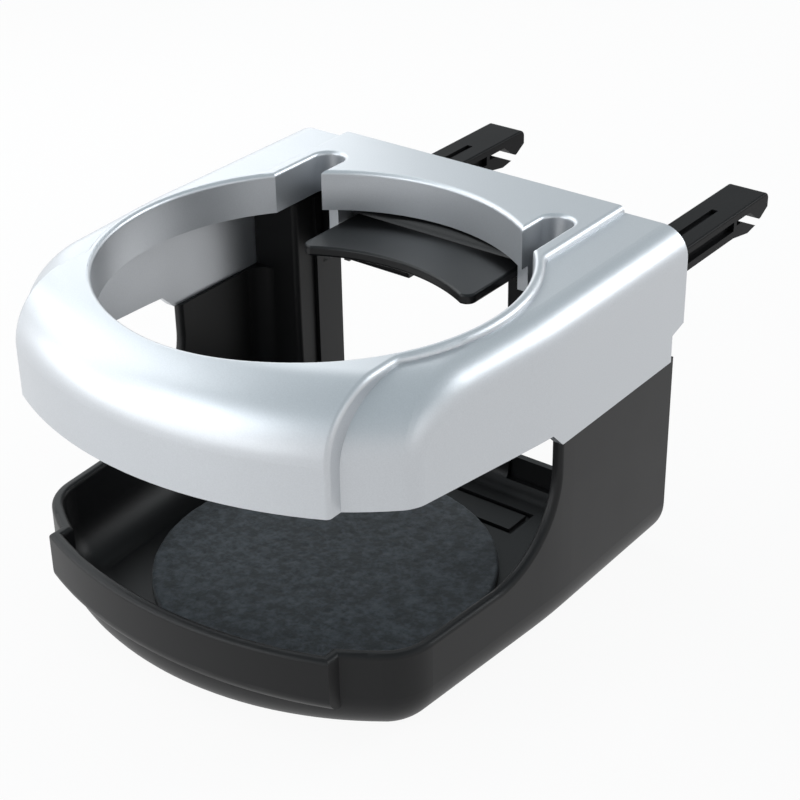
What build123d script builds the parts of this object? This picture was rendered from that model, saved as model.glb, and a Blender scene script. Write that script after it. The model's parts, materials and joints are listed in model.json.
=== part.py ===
from build123d import *
import math
import os

# Vent-mounted car cup holder. Millimetres. The cup axis is Z, the tray stands on Z = 0,
# +Y points to the rear, where the vent clips are, and +X to the right seen from the front.

# Cup opening, and the slots beside the rear block
bore_radius = 38.0
bore_wall = 2.0
bore_wall_height = 8.0
bore_lip_round = 0.8
rim_width = 2.0
block_half = 23.0
slot_width = 6.3
slot_margin = 3.2
slot_overrun = 0.5

# Silver frame
frame_top = 67.5
frame_wall = 2.0
side_width = 8.0
front_width = 9.3
frame_bend = 5.0
frame_taper = 0.081
frame_bend_round = 120.0
frame_arc_radius = 74.4
frame_crown = 11.3
frame_edge_round = 5.5
step_height = 1.3
step_round = 1.1
shoulder_arc_radius = 60.8
shoulder_setback = 0.6
shoulder_crown = 12.0
front_corner_width = 11.7
plateau_corner_round = 4.0

# Lower edge of the frame, from rear to front
split_gap = 1.9
side_rise = 3.0
front_rise = 2.7
skirt_step_at = 6.2
rear_notch_depth = 3.9
rear_notch_rise = 5.4
rear_notch_slant = 1.1

# Black base: tray, cheeks and rear towers
side_overhang = 0.7
front_overhang = 2.5
rear_overhang = 1.8
tray_wall = 2.2
tray_floor = 2.5
tray_bend = 10.0
tray_taper = 0.072
tray_bend_round = 120.0
tray_arc_radius = 65.8
tray_corner_margin = 1.0
tray_foot_round = 9.6
rear_foot_round = 6.0
lip_arc_radius = 86.0
lip_setback = 0.5
lip_height = 18.5
lip_corner_width = 12.9
lip_foot = 7.6
lip_foot_round = 3.0
cheek_front = 10.0
cheek_straight = 5.8
cheek_edge_round = 0.9
rear_lip_height = 8.7
tower_width = 12.3
tower_depth = 14.0
tower_edge_round = 1.0
tower_corner_round = 4.0
collar_wall = 1.7
collar_rise = 15.5
rib_width = 1.2
rib_height = 0.8
rib_setback = 5.5

# Marks in the tray: a groove in the floor, and two pockets at the foot of the rear wall
groove_width = 1.2
groove_depth = 0.8
groove_half = 21.1
groove_inset = 9.8
groove_length = 7.0
pocket_inner = 10.8
pocket_length = 13.2
pocket_front = 3.0
pocket_depth = 0.8
pocket_foot = 4.0

# Pad in the tray
pad_margin = 5.3
pad_thickness = 1.8

# Cup flap, its pin and its spring
hinge_setback = 1.0
hinge_drop = 11.0
pin_radius = 1.0
pin_play = 0.05
pin_seat = 0.01
bracket_wall = 2.2
bracket_margin = 2.3
bracket_setback = 0.4
flap_reach = 19.8
flap_hollow = 4.5
flap_tip_flat = 2.3
flap_thickness = 2.0
flap_corner_round = 2.0
flap_edge_round = 0.5
flap_side_gap = 0.3
flap_inset = 1.0
flap_swing_gap = 0.4
barrel_radius = 2.7
flap_rib = 1.2
flap_rib_at = 12.0
spring_wire = 0.3
spring_play = 0.3
spring_hood = 0.9
spring_side_gap = 1.0
spring_top_gap = 1.2
spring_turns = 6
spring_pitch = 1.1
spring_front_leg = 12.0

# Vent clips
clip_inset = 15.9
clip_drop = 15.8
clip_width = 8.9
clip_height = 5.1
clip_reach = 54.9
clip_jaw = 1.8
clip_slit = 0.9
clip_slit_depth = 13.7
clip_hook_depth = 4.9
clip_hook_wall = 5.3
clip_nose_round = 1.4
clip_flare = 1.1
clip_edge_round = 0.5
clip_groove = 1.4
clip_groove_depth = 0.8
clip_side_groove = 2.0
clip_side_groove_depth = 1.2
clip_foot_width = 13.0
clip_foot_rise = 1.6
clip_foot_thickness = 2.3
clip_travel_in = 10.0
clip_travel_out = 4.0

# Rear cover with a channel for each clip
cover_setback = 1.0
cover_wall = 1.8
cover_gap = 0.3
cover_corner_margin = 0.5
pod_wall = 1.5
pod_round = 0.8
slide_gap = 0.3

# Screws and the bosses that take them
screw_radius = 1.25
screw_play = 0.05
screw_head_radius = 2.1
screw_head_height = 1.5
screw_head_round = 0.6
screw_recess = 0.8
screw_recess_width = 0.7
screw_recess_length = 2.7
cover_screw_length = 5.5
cover_screw_inner = 8.5
cover_screw_inset = 8.0
cover_screw_drop = 2.6
frame_screw_length = 12.0
frame_screw_inset = 7.7
frame_screw_setback = 10.6
boss_wall = 1.5
ear_thickness = 2.5
driver_play = 0.6

# Places that follow from the sizes: across, from the cup axis outwards
slot_outer = block_half + slot_width
plateau_rear_half = slot_outer + slot_margin
frame_half_width = bore_radius + side_width
plateau_front_half = frame_half_width - front_corner_width
tray_half_width = frame_half_width - side_overhang
lip_half = tray_half_width - lip_corner_width
window_half = tray_half_width - tower_width
clip_x = frame_half_width - clip_inset
channel_inner = clip_x - clip_travel_in - clip_foot_width / 2 - slide_gap
pod_inner = channel_inner - pod_wall
pod_outer = clip_x + clip_travel_out + clip_foot_width / 2
cover_half = frame_half_width - frame_wall - cover_gap
cover_screw_outer = frame_half_width - cover_screw_inset
frame_screw_x = frame_half_width - frame_screw_inset
bracket_inner = block_half - bracket_wall
barrel_end = bracket_inner - flap_side_gap
flap_half_width = barrel_end - flap_inset
boss_radius = screw_radius + screw_play + boss_wall
pad_radius = bore_radius - pad_margin

# From front to rear
frame_front = bore_radius + front_width
frame_arc_centre = frame_arc_radius - frame_front
shoulder_arc_centre = shoulder_arc_radius - (frame_front - shoulder_setback)
tray_front = frame_front - front_overhang
lip_arc_centre = lip_arc_radius - tray_front
tray_arc_centre = tray_arc_radius - (tray_front - lip_setback)
hinge_y = bore_radius + hinge_setback
slot_end = hinge_y + slot_overrun
flap_tip = hinge_y - flap_reach
flap_middle = flap_tip + flap_hollow
flap_chord = flap_half_width - flap_tip_flat
flap_arc_radius = (flap_chord**2 + flap_hollow**2) / (2 * flap_hollow)
bracket_front = math.sqrt((bore_radius + bracket_setback) ** 2 - bracket_inner**2)
pod_front = hinge_y + barrel_radius + flap_swing_gap
foot_front = pod_front + pod_wall + slide_gap
foot_rear = foot_front + clip_foot_thickness
cover_inner = foot_rear + slide_gap
cover_rear = cover_inner + cover_wall
frame_rear = cover_rear + cover_setback
tray_rear = frame_rear - rear_overhang
tray_inner_rear = tray_rear - tray_wall
tower_front = tray_rear - tower_depth
frame_screw_y = frame_rear - frame_screw_setback
clip_tip = frame_rear + clip_reach

# From the top down
shoulder_top = frame_top - step_height
plate_underside = shoulder_top - frame_wall
wall_anchor = shoulder_top - frame_wall / 2
cover_top = plate_underside - cover_gap
cover_screw_z = plate_underside - cover_screw_drop
hinge_z = frame_top - hinge_drop
flap_underside = hinge_z - flap_thickness / 2
clip_top = frame_top - clip_drop
clip_bottom = clip_top - clip_height
channel_top = clip_top + clip_foot_rise + slide_gap
channel_foot = clip_bottom - clip_foot_rise - slide_gap
split_height = channel_foot - pod_wall - split_gap
side_skirt = split_height + side_rise
front_skirt = side_skirt + front_rise
ear_foot = split_height - ear_thickness
cheek_sweep = split_height - lip_height - cheek_straight
spring_radius = pin_radius + spring_play + spring_wire

# Longer than anything here, for cuts that go right through
reach = 200.0


def block(x, y, z):
    """Box given by its two ends along each axis."""
    size = (x[1] - x[0], y[1] - y[0], z[1] - z[0])
    middle = ((x[0] + x[1]) / 2, (y[0] + y[1]) / 2, (z[0] + z[1]) / 2)
    return Pos(*middle) * Box(*size)


def rod(radius, start, axis, length):
    """Cylinder that starts at a point and runs along an axis."""
    return extrude(Plane(start, z_dir=axis) * Circle(radius), length)


def both_sides(piece):
    """A piece and its mirror image across the middle plane."""
    return piece + mirror(piece, Plane.YZ)


def side_prism(outline):
    """Profile drawn in Y and Z, carried across the whole width."""
    return extrude(Plane.YZ * outline, reach, both=True)


def front_corner(half_width, bend, taper, centre, radius):
    """Point where a tapering side meets the front arc."""
    rise = bend - centre
    a = 1 + taper**2
    b = half_width * taper + rise
    c = half_width**2 + rise**2 - radius**2
    run = (b + math.sqrt(b**2 - a * c)) / a
    return half_width - taper * run, bend - run


def side_plan(half_width, rear, bend, taper, bend_round):
    """Plan with straight rear sides that close in from the bend, carried on past the front."""
    ahead = -2 * bore_radius
    narrow = half_width - taper * (bend - ahead)
    plan = make_face(Polyline(
        (-half_width, rear), (half_width, rear), (half_width, bend), (narrow, ahead),
        (-narrow, ahead), (-half_width, bend), close=True))
    bends = plan.vertices().filter_by(lambda v: abs(v.Y - bend) < 0.01)
    return fillet(bends, bend_round)


def bowed_plan(centre, radius):
    """Plan with an arc across the front, straight on to the rear from its widest place."""
    return Pos(0, centre) * Circle(radius) + Pos(0, centre + reach / 2) * Rectangle(2 * radius, reach)


def crown_edge(body):
    """Arc along the front of a body's top face."""
    return body.edges().group_by(Axis.Z)[-1].sort_by(Axis.Y)[0]


def shoulder_form(inset):
    """Frame up to the shoulders: crowned front, then rounded sides and front corners."""
    radius = shoulder_arc_radius - inset
    half_width = frame_half_width - inset
    rear = frame_rear + 2 * inset
    top = shoulder_top - inset
    foot = lip_height
    crown = shoulder_crown - inset
    plan = side_plan(half_width, rear, frame_bend, frame_taper, frame_bend_round)
    front = extrude(Pos(0, 0, foot) * bowed_plan(shoulder_arc_centre, radius), top - foot)
    front = fillet(crown_edge(front), crown)
    body = extrude(Pos(0, 0, foot) * plan, top - foot) & front
    x, y = front_corner(half_width, frame_bend, frame_taper, shoulder_arc_centre, radius)

    def along_side(edge):
        at = edge.center()
        on_top = abs(at.Z - top) < 0.01
        at_corner = at.Y < y + crown and at.Z > foot + 1
        return abs(at.X) > 0.8 * x and (on_top or at_corner)

    return fillet(body.edges().filter_by(along_side), frame_edge_round - inset)


def plateau_form():
    """Raised middle: a broad rear part, a narrow rim around the cup and a crowned front."""
    rear_part = Pos(0, frame_rear / 2) * Rectangle(2 * plateau_rear_half, frame_rear)
    front_part = Pos(0, -frame_front / 2) * Rectangle(2 * plateau_front_half, frame_front)
    plan = rear_part + front_part + Circle(bore_radius + rim_width)
    plan = plan & (Pos(0, frame_arc_centre) * Circle(frame_arc_radius))

    def inner_corner(vertex):
        at_rear = abs(abs(vertex.X) - plateau_rear_half) < 0.01 and 0 < vertex.Y < frame_rear - 1
        at_front = abs(abs(vertex.X) - plateau_front_half) < 0.01 and -bore_radius < vertex.Y < 0
        return at_rear or (at_front and vertex.Y > -0.9 * bore_radius)

    plan = fillet(plan.vertices().filter_by(inner_corner), plateau_corner_round)
    foot = lip_height
    body = extrude(Pos(0, 0, foot) * plan, frame_top - foot)
    body = fillet(crown_edge(body), frame_crown)

    def along_step(edge):
        at = edge.center()
        on_top = abs(at.Z - frame_top) < 0.01
        at_front = at.Y < -0.8 * bore_radius and at.Z > foot + 1
        return abs(at.X) > 0.9 * plateau_rear_half and (on_top or at_front)

    return fillet(body.edges().filter_by(along_step), step_round)


def opening_plan():
    """Cup circle with the two slots beside the rear block."""
    radius = (slot_outer - block_half) / 2
    middle = (slot_outer + block_half) / 2
    end = slot_end - radius
    start = bore_radius / 2
    slot = Pos(middle, (start + end) / 2) * Rectangle(2 * radius, end - start)
    slot = slot + Pos(middle, end) * Circle(radius)
    return Circle(bore_radius) + slot + mirror(slot, Plane.YZ)


def skirt_profile():
    """Side view of the frame above its lower edge."""
    corner = front_corner(frame_half_width, frame_bend, frame_taper, shoulder_arc_centre, shoulder_arc_radius)
    notch = frame_rear - rear_notch_depth
    notch_foot = split_height + rear_notch_rise
    notch_top = notch_foot + rear_notch_slant
    return make_face(Polyline(
        (-reach, front_skirt),
        (corner[1], front_skirt),
        (skirt_step_at, side_skirt),
        (skirt_step_at + side_skirt - split_height, split_height),
        (notch, split_height),
        (notch, notch_foot),
        (frame_rear, notch_top),
        (reach, notch_top),
        (reach, reach),
        (-reach, reach),
        close=True))


def cover_screw_places():
    """Heads of the rear cover's screws, on its outer face."""
    return [(x, cover_rear, cover_screw_z)
            for x in (-cover_screw_outer, -cover_screw_inner, cover_screw_inner, cover_screw_outer)]


def frame_screw_places():
    """Heads of the base's screws, under the ears at the rear corners."""
    return [(x, frame_screw_y, ear_foot) for x in (-frame_screw_x, frame_screw_x)]


def ring_frame():
    """Silver frame: a shell open below, with walls around the opening, hinge brackets and screw bosses."""
    opening = opening_plan()
    walls = offset(opening, bore_wall)
    wall_foot = frame_top - bore_wall_height
    body = shoulder_form(0) + plateau_form() - shoulder_form(frame_wall)
    body += extrude(Pos(0, 0, wall_foot) * walls, wall_anchor - wall_foot)
    body += both_sides(block((bracket_inner, block_half),
                             (bracket_front, hinge_y + bracket_margin),
                             (hinge_z - bracket_margin, wall_anchor)))
    hole = screw_radius + screw_play
    for x, y, z in cover_screw_places():
        tip = y - cover_screw_length - boss_wall
        body += rod(boss_radius, (x, tip, z), (0, 1, 0), cover_inner - tip)
        body += block((x - boss_wall / 2, x + boss_wall / 2), (tip, cover_inner), (z, wall_anchor))
        body -= rod(hole, (x, y - cover_screw_length, z), (0, 1, 0), reach)
    hole_depth = frame_screw_length - ear_thickness + boss_wall
    for x, y, z in frame_screw_places():
        body += rod(boss_radius, (x, y, split_height), (0, 0, 1), wall_anchor - split_height)
        body -= rod(hole, (x, y, split_height), (0, 0, 1), hole_depth)
    body -= extrude(opening, 2 * reach)
    body -= rod(pin_radius + pin_seat, (-block_half, hinge_y, hinge_z), (1, 0, 0), 2 * block_half)
    body = body & side_prism(skirt_profile())
    outline = opening.wires().sort_by(SortBy.LENGTH)[-1]

    def on_lip(edge):
        at = edge.center()
        middle = edge.position_at(0.5)
        return at.Z > shoulder_top + 0.2 and outline.distance_to(Vector(middle.X, middle.Y, 0)) < 0.01

    return fillet(body.edges().filter_by(on_lip), bore_lip_round)


def rounded_profile(points, rounds):
    """Outline through points, with some of its corners rounded."""
    face = make_face(Polyline(*points, close=True))
    for place, radius in rounds:
        corner = face.vertices().sort_by_distance(Vector(*place, 0))[0]
        face = fillet(corner, radius)
    return face


def tray_form(inset, rear, foot, foot_round):
    """Tray as a solid: a rounded lower edge, and a front lip that stands proud between the corners."""
    half_width = tray_half_width - inset
    radius = tray_arc_radius - inset
    plan = side_plan(half_width, rear, tray_bend, tray_taper, tray_bend_round)
    plan = plan & bowed_plan(tray_arc_centre, radius)
    corner = front_corner(half_width, tray_bend, tray_taper, tray_arc_centre, radius)
    corners = plan.vertices().filter_by(lambda v: abs(v.Y - corner[1]) < 0.01)
    plan = fillet(corners, foot_round + tray_corner_margin)
    body = extrude(Pos(0, 0, foot) * plan, reach)
    lower = body.edges().group_by(Axis.Z)[0].filter_by(lambda e: e.center().Y < rear - 0.01)
    body = fillet(lower, foot_round)
    lip = Pos(0, lip_arc_centre) * Circle(lip_arc_radius - inset)
    lip = lip & Pos(0, -bore_radius) * Rectangle(2 * (lip_half - inset), bore_radius)
    proud = extrude(Pos(0, 0, lip_foot + inset) * lip, reach)
    lower_edge = proud.edges().group_by(Axis.Z)[0].sort_by(Axis.Y)[0]
    return body + fillet(lower_edge, lip_foot_round)


def corner_walls(side, rear, wall):
    """Plan of the front and inner walls that close off a rear corner of the base."""
    outside = rounded_profile(
        [(window_half, tower_front), (side, tower_front), (side, rear), (window_half, rear)],
        [((window_half, tower_front), tower_edge_round)])
    inside = Pos(window_half + wall + reach / 2, tower_front + wall + reach / 2) * Rectangle(reach, reach)
    return outside - inside


def tower_form():
    """Walls of a rear tower, with a round where they meet the cheek."""
    cheek = tray_half_width - tray_wall
    corner = Pos(cheek - tower_corner_round / 2, tower_front - tower_corner_round / 2)
    round_out = corner * Rectangle(tower_corner_round, tower_corner_round)
    centre = Pos(cheek - tower_corner_round, tower_front - tower_corner_round)
    round_out -= centre * Circle(tower_corner_round)
    return extrude(corner_walls(tray_half_width, tray_rear, tray_wall) + round_out, split_height)


def base_tray():
    """Black base: a tray with a low front lip, cheeks that sweep up to the frame, and hollow rear towers."""
    side_view = rounded_profile(
        [(-reach, 0), (tray_rear, 0), (tray_rear, split_height), (cheek_front, split_height),
         (cheek_front, lip_height), (-reach, lip_height)],
        [((tray_rear, 0), rear_foot_round), ((cheek_front, lip_height), cheek_sweep)])
    hollow_view = rounded_profile(
        [(-reach, tray_floor), (tray_inner_rear, tray_floor), (tray_inner_rear, reach), (-reach, reach)],
        [((tray_inner_rear, tray_floor), rear_foot_round - tray_wall)])
    body = tray_form(0, tray_rear + tray_wall, 0, tray_foot_round) & side_prism(side_view)
    hollow = tray_form(tray_wall, tray_inner_rear, tray_floor, tray_foot_round - tray_wall)
    hollow = (hollow & side_prism(hollow_view)) - both_sides(tower_form())
    body = body - hollow

    def on_rim(edge):
        at = edge.center()
        on_lip = abs(at.Z - lip_height) < 0.01
        on_sweep = lip_height < at.Z < split_height - 0.1 and at.Y < cheek_front + 0.01
        return on_lip or on_sweep

    body = fillet(body.edges().filter_by(on_rim), cheek_edge_round)
    body -= block((-window_half, window_half), (tray_inner_rear - tray_wall, reach), (rear_lip_height, reach))

    collar = corner_walls(cover_half, pod_front - slide_gap, collar_wall)
    collar = extrude(Pos(0, 0, ear_foot) * collar, ear_thickness + collar_rise)
    ear = block((window_half + tray_wall / 2, tray_half_width - tray_wall / 2),
                (tower_front + tray_wall / 2, frame_screw_y + boss_radius),
                (ear_foot, split_height))
    rib_front = tower_front + rib_setback
    rib = block((window_half - rib_height, window_half + collar_wall / 2),
                (rib_front, rib_front + rib_width), (tray_floor / 2, split_height + collar_rise))
    body += both_sides(collar + ear + rib)
    for x, y, z in frame_screw_places():
        body -= rod(screw_radius + screw_play, (x, y, z), (0, 0, 1), reach)
        body -= rod(screw_head_radius + driver_play, (x, y, 0), (0, 0, 1), z)

    outer = Rectangle(2 * groove_half + groove_width, groove_length + groove_width)
    inner = Rectangle(2 * groove_half - groove_width, groove_length - groove_width)
    groove_middle = tray_rear - groove_inset - groove_length / 2
    body -= extrude(Pos(0, groove_middle, tray_floor - groove_depth) * (outer - inner), reach)
    return body - both_sides(block((pocket_inner, pocket_inner + pocket_length),
                                   (tray_inner_rear - pocket_front, tray_inner_rear + pocket_depth),
                                   (pocket_foot, reach)))


def cup_pad():
    """Round pad in the tray."""
    return extrude(Pos(0, 0, tray_floor) * Circle(pad_radius), pad_thickness)


def spring_length():
    """Length of the spring's coil, which ends a quarter turn on from its start."""
    return spring_pitch * (spring_turns + 0.25)


def cup_flap():
    """Flap with a hollow front edge and a barrel around the pin, which hoods the spring."""
    plan = Pos(0, (flap_tip + hinge_y) / 2) * Rectangle(2 * flap_half_width, hinge_y - flap_tip)
    plan = plan - Pos(0, flap_middle - flap_arc_radius) * Circle(flap_arc_radius)
    tips = plan.vertices().filter_by(lambda v: abs(v.X) > flap_half_width - 0.01 and v.Y < flap_tip + 0.01)
    plan = fillet(tips, flap_corner_round)
    body = extrude(Pos(0, 0, flap_underside) * plan, flap_thickness)
    rim = body.edges().filter_by(lambda e: abs(e.center().Z - hinge_z) > 0.4 * flap_thickness
                                 and e.center().Y < hinge_y - 0.01)
    body = fillet(rim, flap_edge_round)
    body += rod(barrel_radius, (-barrel_end, hinge_y, hinge_z), (1, 0, 0), 2 * barrel_end)
    body += both_sides(block((flap_rib_at - flap_rib / 2, flap_rib_at + flap_rib / 2),
                             (flap_middle, hinge_y - barrel_radius), (flap_underside - flap_rib, hinge_z)))
    body -= rod(pin_radius + pin_play, (-reach, hinge_y, hinge_z), (1, 0, 0), 2 * reach)
    room_half = spring_length() / 2 + spring_wire + spring_side_gap
    coil_room = spring_radius + spring_wire + spring_play
    room = rod(coil_room, (-room_half, hinge_y, hinge_z), (1, 0, 0), 2 * room_half)
    room += block((-room_half, room_half), (hinge_y + spring_hood, reach), (0, reach))
    room += block((-room_half, room_half), (hinge_y - barrel_radius, reach), (0, flap_underside))
    return body - room


def flap_pin():
    """Hinge pin across both brackets."""
    return rod(pin_radius, (-block_half, hinge_y, hinge_z), (1, 0, 0), 2 * block_half)


def flap_spring():
    """Torsion spring on the pin: one leg under the flap, the other up behind the rear block's face."""
    length = spring_length()
    coil = Helix(spring_pitch, length, spring_radius)
    seat = Plane((-length / 2, hinge_y, hinge_z), x_dir=(0, 0, -1), z_dir=(1, 0, 0))
    wire = sweep(Plane(coil @ 0, z_dir=coil % 0) * Circle(spring_wire), coil, is_frenet=True)
    wire += rod(spring_wire, coil @ 0, -(coil % 0), spring_front_leg)
    wire += rod(spring_wire, coil @ 1, coil % 1, plate_underside - spring_top_gap - hinge_z)
    return seat * wire


def rear_cover():
    """Black cover across the back of the frame, with a sideways channel for each clip's foot."""
    plate = Pos(0, (channel_top + cover_top) / 2) * Rectangle(2 * cover_half, cover_top - channel_top)
    corner_round = frame_edge_round - frame_wall + cover_corner_margin
    plate = fillet(plate.vertices().group_by(Axis.Y)[-1], corner_round)
    body = Pos(0, cover_inner, 0) * extrude(Plane.XZ * plate, -cover_wall)
    pod = block((pod_inner, pod_outer), (pod_front, cover_rear),
                (channel_foot - pod_wall, channel_top + pod_wall))
    lower = pod.edges().filter_by(Axis.X).group_by(Axis.Z)[0]
    pod = fillet(lower + pod.edges().filter_by(Axis.Z).group_by(Axis.X)[0], pod_round)
    body += both_sides(pod)
    channel = block((channel_inner, pod_outer + 1), (foot_front - slide_gap, cover_inner),
                    (channel_foot, channel_top))
    slot_start = clip_x - clip_travel_in - clip_width / 2 - slide_gap
    slot = block((slot_start, pod_outer + 1), (cover_inner - 1, reach),
                 (clip_bottom - slide_gap, clip_top + slide_gap))
    body -= both_sides(channel + slot)
    for x, y, z in cover_screw_places():
        body -= rod(screw_radius + screw_play, (x, 0, z), (0, 1, 0), reach)
    return body


def vent_clip(side):
    """Louvre clip: a foot for the channel, a grooved bar and a slit mouth with a hooked upper jaw."""
    hook = clip_tip - clip_hook_wall
    hook_low = clip_top - clip_hook_depth
    slit_end = clip_tip - clip_slit_depth
    slit_top = clip_top - clip_jaw
    slit_low = slit_top - clip_slit
    profile = rounded_profile(
        [(foot_front, clip_bottom),
         (slit_end - clip_flare, clip_bottom),
         (hook - 3 * clip_flare, clip_bottom - clip_flare),
         (hook, clip_bottom - clip_flare / 2),
         (slit_end + 2 * clip_flare, slit_low),
         (slit_end, slit_low),
         (slit_end, slit_top),
         (hook - clip_hook_wall / 2, slit_top),
         (hook, hook_low + clip_slit),
         (hook + clip_hook_wall / 3, hook_low),
         (clip_tip, slit_top - clip_flare),
         (clip_tip, clip_top),
         (foot_front, clip_top)],
        [((clip_tip, clip_top), clip_nose_round), ((hook + clip_hook_wall / 3, hook_low), clip_slit)])
    bar = extrude(Plane.YZ * profile, clip_width / 2, both=True)
    upper = bar.edges().filter_by(Axis.Y).group_by(Axis.Z)[-1]
    bar = fillet(upper, clip_edge_round)
    groove_start = cover_rear + clip_travel_out
    groove_end = slit_end - clip_flare
    bar -= block((-clip_groove / 2, clip_groove / 2), (groove_start, groove_end),
                 (clip_top - clip_groove_depth, reach))
    middle = (clip_top + clip_bottom) / 2
    bar -= both_sides(block((clip_width / 2 - clip_side_groove_depth, clip_width),
                            (groove_start, groove_end),
                            (middle - clip_side_groove / 2, middle + clip_side_groove / 2)))
    foot = block((-clip_foot_width / 2, clip_foot_width / 2), (foot_front, foot_rear),
                 (clip_bottom - clip_foot_rise, clip_top + clip_foot_rise))
    return Pos(side * clip_x, 0, 0) * (bar + foot)


def screw(length, place, outward):
    """Pan-head screw with a cross recess, its head seated at a place and facing outward."""
    head = extrude(Circle(screw_head_radius), screw_head_height)
    head = fillet(head.edges().group_by(Axis.Z)[-1], screw_head_round)
    bar = Rectangle(screw_recess_length, screw_recess_width)
    cross = bar + Rot(0, 0, 90) * bar
    head -= extrude(Pos(0, 0, screw_head_height - screw_recess) * cross, screw_recess)
    return Plane(place, z_dir=outward) * (head + extrude(Circle(screw_radius), -length))


def rear_cover_screws():
    """Screws through the rear cover into the frame's bosses."""
    return Compound([screw(cover_screw_length, place, (0, 1, 0)).solid() for place in cover_screw_places()])


def frame_screws():
    """Screws up through the base's ears into the frame's bosses."""
    return Compound([screw(frame_screw_length, place, (0, 0, -1)).solid() for place in frame_screw_places()])


parts = {
    "ring_frame": ring_frame,
    "base_tray": base_tray,
    "cup_pad": cup_pad,
    "cup_flap": cup_flap,
    "flap_pin": flap_pin,
    "flap_spring": flap_spring,
    "rear_cover": rear_cover,
    "vent_clip_left": lambda: vent_clip(-1),
    "vent_clip_right": lambda: vent_clip(1),
    "rear_cover_screws": rear_cover_screws,
    "frame_screws": frame_screws,
}

os.makedirs("parts", exist_ok=True)
for name, make in parts.items():
    export_step(make(), f"parts/{name}.step")
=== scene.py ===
"""Car cup holder: finishes for its mouldings, a torsion spring, a felt pad and a studio."""

import json
import math

import bpy
import numpy as np
from mathutils import Matrix, Vector


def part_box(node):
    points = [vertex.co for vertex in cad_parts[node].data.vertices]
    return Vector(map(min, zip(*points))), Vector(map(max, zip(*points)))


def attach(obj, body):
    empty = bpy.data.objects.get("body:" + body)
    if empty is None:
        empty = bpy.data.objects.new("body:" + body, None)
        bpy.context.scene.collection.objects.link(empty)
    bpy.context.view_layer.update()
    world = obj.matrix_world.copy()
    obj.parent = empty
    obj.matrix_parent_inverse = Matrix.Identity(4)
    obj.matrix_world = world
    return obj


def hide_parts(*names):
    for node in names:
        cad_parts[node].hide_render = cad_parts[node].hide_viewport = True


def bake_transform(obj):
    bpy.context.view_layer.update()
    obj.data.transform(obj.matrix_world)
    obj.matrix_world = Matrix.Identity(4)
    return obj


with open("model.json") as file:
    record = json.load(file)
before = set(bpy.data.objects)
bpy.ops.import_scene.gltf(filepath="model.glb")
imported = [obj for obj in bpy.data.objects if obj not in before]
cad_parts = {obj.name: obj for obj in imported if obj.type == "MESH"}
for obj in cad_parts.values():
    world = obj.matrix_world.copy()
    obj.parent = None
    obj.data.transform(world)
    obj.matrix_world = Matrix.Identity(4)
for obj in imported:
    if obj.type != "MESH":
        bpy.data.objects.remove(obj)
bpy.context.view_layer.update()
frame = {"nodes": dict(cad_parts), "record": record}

bl_info = {
    "name": "Car Cup Holder",
    "version": (1, 0, 0),
    "blender": (4, 5, 0),
    "location": "3D View > Sidebar > Cup Holder",
    "description": "Finishes a vent-mounted cup holder, with its spring, its pad and a studio",
    "category": "Object",
}

MM = 0.001
WHITE = (1, 1, 1)
pad_low, pad_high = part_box("cup_pad")
spring_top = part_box("flap_spring")[1].z
hinge = next(joint for joint in frame["record"]["behaviour"]["joints"] if joint["name"] == "flap_hinge")


def linear(code):
    """Linear red, green and blue of an sRGB hex colour."""
    srgb = [int(code[i:i + 2], 16) / 255 for i in (1, 3, 5)]
    return tuple(c / 12.92 if c <= 0.04045 else ((c + 0.055) / 1.055) ** 2.4 for c in srgb)


class CupHolderFinishes(bpy.types.PropertyGroup):
    """Colours of the pieces, and the sizes of the grain in them."""

    silver: bpy.props.FloatVectorProperty(
        name="Silver paint", description="Colour of the frame's paint", subtype="COLOR", size=3,
        min=0, max=1, default=linear("#c2c5c9"))
    black: bpy.props.FloatVectorProperty(
        name="Black plastic", description="Colour of the base, flap, cover and clips", subtype="COLOR",
        size=3, min=0, max=1, default=linear("#161617"))
    felt: bpy.props.FloatVectorProperty(
        name="Felt", description="Colour of the pad's dark fibres", subtype="COLOR", size=3,
        min=0, max=1, default=linear("#20262b"))
    felt_fleck: bpy.props.FloatVectorProperty(
        name="Felt flecks", description="Colour of the pale fibres in the pad", subtype="COLOR", size=3,
        min=0, max=1, default=linear("#454d54"))
    steel: bpy.props.FloatVectorProperty(
        name="Steel", description="Colour of the pin, spring and screws", subtype="COLOR", size=3,
        min=0, max=1, default=linear("#a9abad"))
    flake: bpy.props.FloatProperty(
        name="Paint flake", description="Distance between flakes in the paint", unit="LENGTH",
        default=0.25 * MM)
    grain: bpy.props.FloatProperty(
        name="Moulded grain", description="Distance between grains of the moulded texture", unit="LENGTH",
        default=0.35 * MM)
    fibre: bpy.props.FloatProperty(
        name="Felt fibre", description="Distance between tufts of the felt", unit="LENGTH", default=0.9 * MM)
    mottle: bpy.props.FloatProperty(
        name="Felt mottle", description="Distance between the felt's paler patches", unit="LENGTH",
        default=2.5 * MM)
    streak: bpy.props.FloatProperty(
        name="Steel streak", description="Distance between streaks in the steel", unit="LENGTH",
        default=0.5 * MM)
    paint_cloud: bpy.props.FloatProperty(
        name="Paint cloud", description="Distance between smoother places in the paint", unit="LENGTH",
        default=12 * MM)
    plastic_cloud: bpy.props.FloatProperty(
        name="Plastic cloud", description="Distance between smoother places in the plastic", unit="LENGTH",
        default=15 * MM)


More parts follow.
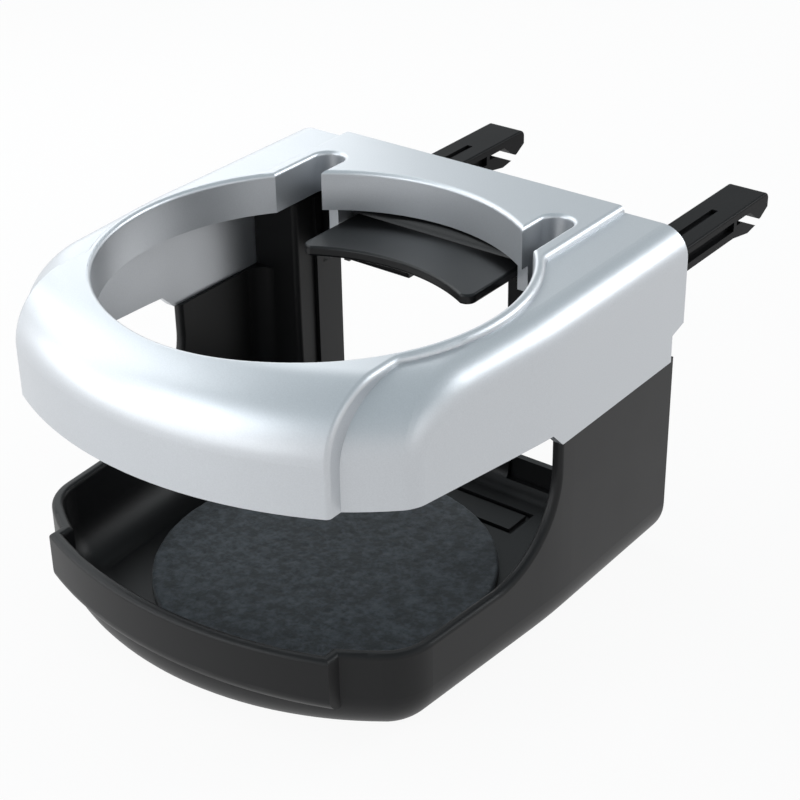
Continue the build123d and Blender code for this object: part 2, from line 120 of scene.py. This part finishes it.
class CupHolderSpring(bpy.types.PropertyGroup):
    """Size of the torsion spring on the flap's pin."""

    middle: bpy.props.FloatVectorProperty(
        name="Middle", description="Middle of the coil, on the hinge", subtype="TRANSLATION", size=3,
        default=hinge["pos_m"])
    wire: bpy.props.FloatProperty(
        name="Wire", description="Radius of the wire", unit="LENGTH", default=0.3 * MM)
    coil: bpy.props.FloatProperty(
        name="Coil", description="Radius of the coil, to the middle of the wire", unit="LENGTH",
        default=1.6 * MM)
    pitch: bpy.props.FloatProperty(
        name="Pitch", description="Distance from one turn to the next", unit="LENGTH", default=1.1 * MM)
    turns: bpy.props.FloatProperty(
        name="Turns", description="Turns of the coil, which ends a quarter turn on from its start",
        default=6.25)
    flap_leg: bpy.props.FloatProperty(
        name="Flap leg", description="Length of the leg under the flap", unit="LENGTH", default=12 * MM)
    frame_leg: bpy.props.FloatProperty(
        name="Frame leg", description="Length of the leg behind the rear block", unit="LENGTH",
        default=spring_top - hinge["pos_m"][2])


class CupHolderPad(bpy.types.PropertyGroup):
    """Size of the pad in the tray."""

    radius: bpy.props.FloatProperty(
        name="Radius", description="Radius of the pad", unit="LENGTH", default=(pad_high.x - pad_low.x) / 2)
    floor: bpy.props.FloatProperty(
        name="Floor", description="Height of the tray's floor", unit="LENGTH", default=pad_low.z)
    thickness: bpy.props.FloatProperty(
        name="Thickness", description="Thickness of the pad", unit="LENGTH", default=pad_high.z - pad_low.z)
    edge_round: bpy.props.FloatProperty(
        name="Edge rounding", description="Rounding of the pad's upper edge", unit="LENGTH", default=0.7 * MM)
    relief: bpy.props.FloatProperty(
        name="Relief", description="Height of the felt's unevenness", unit="LENGTH", default=0.06 * MM)


class CupHolderStudio(bpy.types.PropertyGroup):
    """Camera and lamps."""

    azimuth: bpy.props.FloatProperty(
        name="Azimuth", description="Camera's turn round the object from the front", subtype="ANGLE",
        default=math.radians(37.638))
    elevation: bpy.props.FloatProperty(
        name="Elevation", description="Camera's height above the horizon", subtype="ANGLE",
        default=math.radians(29.474))
    roll: bpy.props.FloatProperty(
        name="Roll", description="Camera's turn about its own axis", subtype="ANGLE",
        default=math.radians(-0.973))
    distance: bpy.props.FloatProperty(
        name="Distance", description="Camera's distance from its target", unit="LENGTH", default=0.324133)
    target: bpy.props.FloatVectorProperty(
        name="Target", description="Point that the camera looks at", subtype="TRANSLATION", size=3,
        default=(0.018354, 0.0, 0.045109))
    focal_length: bpy.props.FloatProperty(
        name="Focal length", description="Focal length on a 36 mm sensor", subtype="DISTANCE_CAMERA",
        default=84.35)
    lamp_level: bpy.props.FloatProperty(
        name="Lamp level", description="Brightness of all lamps together", default=1.0, min=0)


def add_node(tree, kind, inputs=None, **settings):
    """A new node with its settings, and each input set to a value or linked to another node's output."""
    made = tree.nodes.new(kind)
    for name, value in settings.items():
        setattr(made, name, value)
    for name, value in (inputs or {}).items():
        if isinstance(value, bpy.types.NodeSocket):
            tree.links.new(value, made.inputs[name])
        else:
            made.inputs[name].default_value = value
    return made


def new_material(name):
    """A material with no nodes yet, and its node tree."""
    material = bpy.data.materials.new(name)
    material.use_nodes = True
    material.node_tree.nodes.clear()
    return material, material.node_tree


def end_material(tree, shader):
    """Links a shader to the material's output."""
    add_node(tree, "ShaderNodeOutputMaterial", {"Surface": shader})


def rgba(colour):
    """A colour with full opacity."""
    return (*colour, 1.0)


def silver_paint(finishes):
    """Painted ABS: sprayed silver, so its flakes give a soft metallic sheen under a satin clear coat. Real
    flakes are finer: these are drawn coarse enough to show."""
    material, tree = new_material("painted ABS, silver")
    place = add_node(tree, "ShaderNodeTexCoord").outputs["Object"]
    flakes = add_node(tree, "ShaderNodeTexNoise", {
        "Vector": place, "Scale": 1 / finishes.flake, "Detail": 2.0})
    cloud = add_node(tree, "ShaderNodeTexNoise", {
        "Vector": place, "Scale": 1 / finishes.paint_cloud, "Detail": 3.0})
    rough = add_node(tree, "ShaderNodeMapRange", {
        "Value": cloud.outputs["Fac"], "To Min": 0.36, "To Max": 0.44})
    tone = add_node(tree, "ShaderNodeMapRange", {
        "Value": flakes.outputs["Fac"], "To Min": 0.92, "To Max": 1.08})
    colour = add_node(tree, "ShaderNodeVectorMath", {
        0: finishes.silver, "Scale": tone.outputs["Result"]}, operation="SCALE")
    bump = add_node(tree, "ShaderNodeBump", {
        "Height": flakes.outputs["Fac"], "Strength": 0.04, "Distance": 0.05 * MM})
    shader = add_node(tree, "ShaderNodeBsdfPrincipled", {
        "Base Color": colour.outputs["Vector"], "Metallic": 0.75, "Roughness": rough.outputs["Result"],
        "Normal": bump.outputs["Normal"], "Coat Weight": 0.25, "Coat Roughness": 0.3})
    end_material(tree, shader.outputs["BSDF"])
    return material


def black_plastic(finishes, name, roughness, gloss):
    """Moulded plastic: dyed black, with the fine etched grain of its mould, which dulls its reflections. Its
    gloss says how strong they are."""
    spread = 0.05
    material, tree = new_material(name)
    place = add_node(tree, "ShaderNodeTexCoord").outputs["Object"]
    grain = add_node(tree, "ShaderNodeTexNoise", {
        "Vector": place, "Scale": 1 / finishes.grain, "Detail": 2.0})
    cloud = add_node(tree, "ShaderNodeTexNoise", {
        "Vector": place, "Scale": 1 / finishes.plastic_cloud, "Detail": 4.0})
    rough = add_node(tree, "ShaderNodeMapRange", {
        "Value": cloud.outputs["Fac"], "To Min": roughness - spread, "To Max": roughness + spread})
    bump = add_node(tree, "ShaderNodeBump", {
        "Height": grain.outputs["Fac"], "Strength": 0.12, "Distance": 0.05 * MM})
    tone = add_node(tree, "ShaderNodeMapRange", {
        "Value": cloud.outputs["Fac"], "To Min": 0.85, "To Max": 1.15})
    colour = add_node(tree, "ShaderNodeVectorMath", {
        0: finishes.black, "Scale": tone.outputs["Result"]}, operation="SCALE")
    shader = add_node(tree, "ShaderNodeBsdfPrincipled", {
        "Base Color": colour.outputs["Vector"], "Roughness": rough.outputs["Result"], "IOR": 1.54,
        "Specular IOR Level": gloss, "Normal": bump.outputs["Normal"]})
    end_material(tree, shader.outputs["BSDF"])
    return material


def pressed_felt(finishes):
    """Pressed wool felt: short dark fibres with pale ones among them, so it looks flecked and quite matt."""
    material, tree = new_material("pressed wool felt")
    place = add_node(tree, "ShaderNodeTexCoord").outputs["Object"]
    tufts = add_node(tree, "ShaderNodeTexNoise", {
        "Vector": place, "Scale": 1 / finishes.fibre, "Detail": 4.0, "Roughness": 0.7})
    patches = add_node(tree, "ShaderNodeTexNoise", {
        "Vector": place, "Scale": 1 / finishes.mottle, "Detail": 3.0})
    both = add_node(tree, "ShaderNodeMath", {
        0: tufts.outputs["Fac"], 1: patches.outputs["Fac"]}, operation="ADD")
    share = add_node(tree, "ShaderNodeMapRange", {
        "Value": both.outputs[0], "From Min": 0.88, "From Max": 1.26})
    colour = add_node(tree, "ShaderNodeMix", {
        "Factor": share.outputs["Result"], "A": rgba(finishes.felt), "B": rgba(finishes.felt_fleck)},
        data_type="RGBA")
    bump = add_node(tree, "ShaderNodeBump", {
        "Height": tufts.outputs["Fac"], "Strength": 0.4, "Distance": 0.3 * MM})
    shader = add_node(tree, "ShaderNodeBsdfPrincipled", {
        "Base Color": colour.outputs["Result"], "Roughness": 0.95, "Normal": bump.outputs["Normal"],
        "Sheen Weight": 0.2, "Sheen Roughness": 0.6})
    end_material(tree, shader.outputs["BSDF"])
    return material


def plated_steel(finishes):
    """Zinc-plated steel: drawn wire and turned heads, bright with faint streaks. Made once, then shared."""
    name = "zinc-plated steel"
    if name in bpy.data.materials:
        return bpy.data.materials[name]
    material, tree = new_material(name)
    place = add_node(tree, "ShaderNodeTexCoord").outputs["Object"]
    streaks = add_node(tree, "ShaderNodeTexNoise", {
        "Vector": place, "Scale": 1 / finishes.streak, "Detail": 3.0})
    rough = add_node(tree, "ShaderNodeMapRange", {
        "Value": streaks.outputs["Fac"], "To Min": 0.25, "To Max": 0.4})
    shader = add_node(tree, "ShaderNodeBsdfPrincipled", {
        "Base Color": rgba(finishes.steel), "Metallic": 1.0, "Roughness": rough.outputs["Result"]})
    end_material(tree, shader.outputs["BSDF"])
    return material


def dress(node, material):
    """Puts one material on a CAD node."""
    mesh = frame["nodes"][node].data
    mesh.materials.clear()
    mesh.materials.append(material)


class CUPHOLDER_OT_silver_frame(bpy.types.Operator):
    """Paint the ring frame silver"""

    bl_idname = "cup_holder.silver_frame"
    bl_label = "Paint Frame"

    def execute(self, context):
        dress("ring_frame", silver_paint(context.scene.cup_holder_finishes))
        return {"FINISHED"}


class CUPHOLDER_OT_black_mouldings(bpy.types.Operator):
    """Finish the base, flap, rear cover and clips as black mouldings"""

    bl_idname = "cup_holder.black_mouldings"
    bl_label = "Finish Mouldings"

    def execute(self, context):
        finishes = context.scene.cup_holder_finishes
        satin = black_plastic(finishes, "moulded ABS, black satin", roughness=0.42, gloss=0.2)
        for node in ("base_tray", "rear_cover"):
            dress(node, satin)
        dress("cup_flap", black_plastic(finishes, "moulded ABS, black smooth", roughness=0.32, gloss=0.25))
        dull = black_plastic(finishes, "moulded nylon, black", roughness=0.4, gloss=0.05)
        for node in ("vent_clip_left", "vent_clip_right"):
            dress(node, dull)
        return {"FINISHED"}


class CUPHOLDER_OT_steel_fittings(bpy.types.Operator):
    """Finish the pin and screws as plated steel"""

    bl_idname = "cup_holder.steel_fittings"
    bl_label = "Finish Fittings"

    def execute(self, context):
        steel = plated_steel(context.scene.cup_holder_finishes)
        for node in ("flap_pin", "rear_cover_screws", "frame_screws"):
            dress(node, steel)
        return {"FINISHED"}


def mesh_piece(name, points, faces, material):
    """An object at the origin with its place in its mesh, smooth all over."""
    mesh = bpy.data.meshes.new(name)
    mesh.from_pydata(points, [], faces)
    mesh.polygons.foreach_set("use_smooth", np.ones(len(mesh.polygons), bool))
    mesh.materials.append(material)
    mesh.update()
    piece = bpy.data.objects.new(name, mesh)
    bpy.context.scene.collection.objects.link(piece)
    return piece


def ring_quads(rings, around):
    """Faces between rings of points: each joins a point, the next in its ring, and both in the ring after."""
    rows = np.arange(rings - 1)[:, None] * around
    column = np.arange(around)
    after = (column + 1) % around
    quads = np.stack([rows + column, rows + after, rows + around + after, rows + around + column], -1)
    return quads.reshape(-1, 4).tolist()


def spring_surface(spring):
    """Round wire carried along a path: a straight leg, a helix round the hinge from straight below it, and a
    second leg, each leg along the helix's own direction at its end. Each ring of points lies across that
    direction."""
    around = 12
    steps = 200
    last = 2 * np.pi * spring.turns
    turn = np.concatenate([[0], np.linspace(0, last, steps), [last]])
    along = np.concatenate([[-spring.flap_leg], np.zeros(steps), [spring.frame_leg]])
    out = np.stack([0 * turn, np.sin(turn), -np.cos(turn)], -1)
    rise = spring.pitch / (2 * np.pi)
    ahead = np.stack([0 * turn + rise, spring.coil * np.cos(turn), spring.coil * np.sin(turn)], -1)
    ahead = ahead / np.hypot(rise, spring.coil)
    across = np.cross(ahead, out)
    path = spring.coil * out + along[:, None] * ahead
    path[:, 0] += rise * (turn - last / 2)
    ring = np.linspace(0, 2 * np.pi, around, endpoint=False)[None, :, None]
    points = path[:, None] + spring.wire * (np.cos(ring) * out[:, None] + np.sin(ring) * across[:, None])
    first_ring = np.arange(around)
    last_ring = (len(turn) - 1) * around + first_ring
    ends = [first_ring[::-1].tolist(), last_ring.tolist()]
    return points.reshape(-1, 3) + np.array(spring.middle), ring_quads(len(turn), around) + ends


class CUPHOLDER_OT_torsion_spring(bpy.types.Operator):
    """Wind the torsion spring, with one leg under the flap and one behind the rear block"""

    bl_idname = "cup_holder.torsion_spring"
    bl_label = "Wind Spring"

    def execute(self, context):
        spring = context.scene.cup_holder_spring
        steel = plated_steel(context.scene.cup_holder_finishes)
        piece = mesh_piece("torsion_spring", *spring_surface(spring), steel)
        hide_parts("flap_spring")
        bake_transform(piece)
        return {"FINISHED"}


def waves(x, y, spacing, count, seed):
    """Even unevenness: many plane waves of about one spacing, in random directions, added and divided by the
    root of their count."""
    draw = np.random.default_rng(seed)
    turn = draw.uniform(0, 2 * np.pi, count)
    pace = 2 * np.pi / (spacing * draw.uniform(0.7, 1.6, count))
    shift = draw.uniform(0, 2 * np.pi, count)
    phase = pace[:, None] * (np.outer(np.cos(turn), x.ravel()) + np.outer(np.sin(turn), y.ravel()))
    return (np.cos(phase + shift[:, None]).sum(0) / np.sqrt(count)).reshape(x.shape)


def pad_surface(pad):
    """Closed disc: a profile from the middle of its underside, round its edge, to the middle of its top,
    turned about the cup axis. The radius wavers by the product of two waves round the disc, and the top sinks
    here and there by the felt's relief."""
    around = 360
    beneath = 12
    bends = 7
    across = 110
    fray = 0.002
    turn = np.linspace(0, 2 * np.pi, around, endpoint=False)
    bend = np.linspace(0, np.pi / 2, bends)
    core = pad.radius - pad.edge_round
    under = np.linspace(0, pad.radius, beneath)[1:]
    over = np.linspace(core, 0, across)[1:-1]
    reach = np.concatenate([under, core + pad.edge_round * np.cos(bend), over])
    shoulder = pad.thickness - pad.edge_round
    height = np.concatenate([0 * under, shoulder + pad.edge_round * np.sin(bend), 0 * over + pad.thickness])
    waver = 1 - fray * np.abs(np.sin(turn * 11) * np.cos(turn * 7 + 1))
    x = np.outer(reach, waver * np.cos(turn))
    y = np.outer(reach, waver * np.sin(turn))
    z = np.repeat(height[:, None], around, 1)
    z = z + np.where(z > shoulder, pad.relief * waves(x, y, spacing=2.2 * MM, count=60, seed=3), 0)
    z = np.minimum(z, pad.thickness)
    points = np.concatenate([np.stack([x, y, z], -1).reshape(-1, 3), [[0, 0, 0], [0, 0, pad.thickness]]])
    points[:, 2] += pad.floor
    foot = len(points) - 2
    top = len(points) - 1
    last = (len(reach) - 1) * around
    column = np.arange(around)
    after = (column + 1) % around
    foot_cap = np.stack([0 * column + foot, after, column], -1).tolist()
    top_cap = np.stack([last + column, last + after, 0 * column + top], -1).tolist()
    return points, ring_quads(len(reach), around) + foot_cap + top_cap


class CUPHOLDER_OT_felt_pad(bpy.types.Operator):
    """Lay the felt pad in the tray"""

    bl_idname = "cup_holder.felt_pad"
    bl_label = "Lay Pad"

    def execute(self, context):
        pad = context.scene.cup_holder_pad
        piece = mesh_piece("felt_pad", *pad_surface(pad), pressed_felt(context.scene.cup_holder_finishes))
        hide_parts("cup_pad")
        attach(piece, "holder")
        return {"FINISHED"}


def seen_ray(tree):
    """One for a ray that sees a surface, reflects it or passes through to it, and zero for other light."""
    path = add_node(tree, "ShaderNodeLightPath").outputs
    seen = add_node(tree, "ShaderNodeMath", {
        0: path["Is Camera Ray"], 1: path["Is Glossy Ray"]}, operation="ADD")
    seen = add_node(tree, "ShaderNodeMath", {
        0: seen.outputs[0], 1: path["Is Transmission Ray"]}, operation="ADD", use_clamp=True)
    return seen.outputs[0]


def white_behind(tree, lit):
    """Nearly white, with a share of its shadows, for a ray that sees it, and its lit self for other light."""
    shadow_share = 0.07
    white = add_node(tree, "ShaderNodeEmission", {"Color": rgba(WHITE), "Strength": 1.0})
    shown = add_node(tree, "ShaderNodeMixShader", {0: shadow_share, 1: white.outputs[0], 2: lit})
    return add_node(tree, "ShaderNodeMixShader", {0: seen_ray(tree), 1: lit, 2: shown.outputs[0]}).outputs[0]


def studio_floor():
    """Pale floor that keeps a faint shadow, drawn well past what the camera sees."""
    half = 3.0
    material, tree = new_material("matt white card")
    lit = add_node(tree, "ShaderNodeBsdfDiffuse", {"Color": rgba(linear("#f2f2f2"))})
    end_material(tree, white_behind(tree, lit.outputs[0]))
    corners = [(-half, -half, 0), (half, -half, 0), (half, half, 0), (-half, half, 0)]
    floor = mesh_piece("studio_floor", corners, [(0, 1, 2, 3)], material)


def soft_box(name, place, aim, size, power, colour):
    """Area lamp at a place, facing a point, with its width and height."""
    lamp = bpy.data.lights.new(name, "AREA")
    lamp.shape = "RECTANGLE"
    lamp.size, lamp.size_y = size
    lamp.energy = power
    lamp.color = colour
    held = bpy.data.objects.new(name, lamp)
    held.location = place
    held.rotation_mode = "QUATERNION"
    held.rotation_quaternion = (Vector(aim) - Vector(place)).to_track_quat("-Z", "Y")
    held.visible_camera = False
    bpy.context.scene.collection.objects.link(held)


def studio_lamps(studio):
    """Soft boxes round the object, all aimed at its middle: the strongest at the left, front and back."""
    middle = (0, 0, 0.04)
    faint_blue = (0.97, 0.99, 1)
    light_blue = (0.95, 0.98, 1)
    cool_blue = (0.93, 0.97, 1)
    # Name, place, width and height in metres, then power in watts and colour
    boxes = (
        ("left_box", (-0.65, -0.15, 0.55), (0.7, 0.7), 3.0, faint_blue),
        ("near_box", (-0.22, 0.15, 0.2), (0.2, 0.2), 0.18, faint_blue),
        ("low_box", (-0.75, -0.5, 0.1), (0.5, 0.18), 1.0, light_blue),
        ("front_box", (-0.3, -0.85, 0.4), (0.6, 0.5), 3.0, cool_blue),
        ("bounce_box", (-0.15, -0.38, 0.02), (0.5, 0.04), 0.25, faint_blue),
        ("right_box", (0.85, -0.1, 0.35), (0.5, 0.5), 0.5, WHITE),
        ("rim_box", (0.5, 0.75, 0.45), (0.5, 0.4), 3.4, light_blue),
    )
    for name, place, size, power, colour in boxes:
        soft_box(name, place, middle, size, power * studio.lamp_level, colour)


def studio_camera(studio):
    """Camera set back from its target by azimuth, elevation and distance, then rolled about its own axis."""
    lens = bpy.data.cameras.new("studio_camera")
    lens.sensor_width = 36
    lens.lens = studio.focal_length
    lens.clip_start = 0.01
    flat = math.cos(studio.elevation)
    right = Vector((math.cos(studio.azimuth), math.sin(studio.azimuth), 0))
    back = Vector((right.y * flat, -right.x * flat, math.sin(studio.elevation)))
    up = back.cross(right)
    tilted_right = right * math.cos(studio.roll) + up * math.sin(studio.roll)
    tilted_up = up * math.cos(studio.roll) - right * math.sin(studio.roll)
    held = bpy.data.objects.new("studio_camera", lens)
    place = Matrix.Translation(Vector(studio.target) + back * studio.distance)
    held.matrix_world = place @ Matrix((tilted_right, tilted_up, back)).transposed().to_4x4()
    bpy.context.scene.collection.objects.link(held)
    bpy.context.scene.camera = held


def studio_world():
    """Studio room: white walls and a dimmer, cooler ceiling for what sees or reflects them, and a lower fill
    for other light."""
    ceiling_level = 0.74
    ceiling_colour = (0.84, 0.95, 1)
    fill_level = 0.25
    world = bpy.data.worlds.new("studio")
    world.use_nodes = True
    tree = world.node_tree
    tree.nodes.clear()
    way = add_node(tree, "ShaderNodeTexCoord").outputs["Generated"]
    height = add_node(tree, "ShaderNodeSeparateXYZ", {"Vector": way}).outputs["Z"]
    rise = add_node(tree, "ShaderNodeMapRange", {
        "Value": height, "From Min": 0.1, "From Max": 0.6}, interpolation_type="SMOOTHSTEP")
    room = add_node(tree, "ShaderNodeMapRange", {
        "Value": rise.outputs["Result"], "To Min": 1.0, "To Max": ceiling_level})
    colour = add_node(tree, "ShaderNodeMix", {
        "Factor": rise.outputs["Result"], "A": rgba(WHITE), "B": rgba(ceiling_colour)}, data_type="RGBA")
    level = add_node(tree, "ShaderNodeMapRange", {
        "Value": seen_ray(tree), "To Min": fill_level, "To Max": room.outputs["Result"]})
    air = add_node(tree, "ShaderNodeBackground", {
        "Color": colour.outputs["Result"], "Strength": level.outputs["Result"]})
    add_node(tree, "ShaderNodeOutputWorld", {"Surface": air.outputs[0]})
    bpy.context.scene.world = world


class CUPHOLDER_OT_studio(bpy.types.Operator):
    """Set up the floor, lamps, surroundings and camera"""

    bl_idname = "cup_holder.studio"
    bl_label = "Set Up Studio"

    def execute(self, context):
        studio = context.scene.cup_holder_studio
        studio_floor()
        studio_lamps(studio)
        studio_world()
        studio_camera(studio)
        context.scene.view_settings.view_transform = "Standard"
        return {"FINISHED"}


class CUPHOLDER_PT_sidebar(bpy.types.Panel):
    """Finishes, spring, pad and studio of the cup holder"""

    bl_label = "Cup Holder"
    bl_idname = "CUPHOLDER_PT_sidebar"
    bl_space_type = "VIEW_3D"
    bl_region_type = "UI"
    bl_category = "Cup Holder"

    def draw(self, context):
        layout = self.layout
        for group in GROUPS:
            settings = getattr(context.scene, group)
            for name in settings.bl_rna.properties.keys():
                if name not in ("rna_type", "name"):
                    layout.prop(settings, name)
        for operator in OPERATORS:
            layout.operator(operator.bl_idname)


GROUPS = {
    "cup_holder_finishes": CupHolderFinishes,
    "cup_holder_spring": CupHolderSpring,
    "cup_holder_pad": CupHolderPad,
    "cup_holder_studio": CupHolderStudio,
}
OPERATORS = (
    CUPHOLDER_OT_silver_frame,
    CUPHOLDER_OT_black_mouldings,
    CUPHOLDER_OT_steel_fittings,
    CUPHOLDER_OT_torsion_spring,
    CUPHOLDER_OT_felt_pad,
    CUPHOLDER_OT_studio,
)
CLASSES = (*GROUPS.values(), *OPERATORS, CUPHOLDER_PT_sidebar)


def register():
    """Adds the classes, and their settings to the scene."""
    for each in CLASSES:
        bpy.utils.register_class(each)
    for name, group in GROUPS.items():
        setattr(bpy.types.Scene, name, bpy.props.PointerProperty(type=group))


def unregister():
    """Takes the settings and the classes away again."""
    for name in GROUPS:
        delattr(bpy.types.Scene, name)
    for each in reversed(CLASSES):
        bpy.utils.unregister_class(each)


def main():
    """Runs each operator in order."""
    register()
    bpy.ops.cup_holder.silver_frame()
    bpy.ops.cup_holder.black_mouldings()
    bpy.ops.cup_holder.steel_fittings()
    bpy.ops.cup_holder.torsion_spring()
    bpy.ops.cup_holder.felt_pad()
    bpy.ops.cup_holder.studio()


if __name__ == "__main__":
    main()
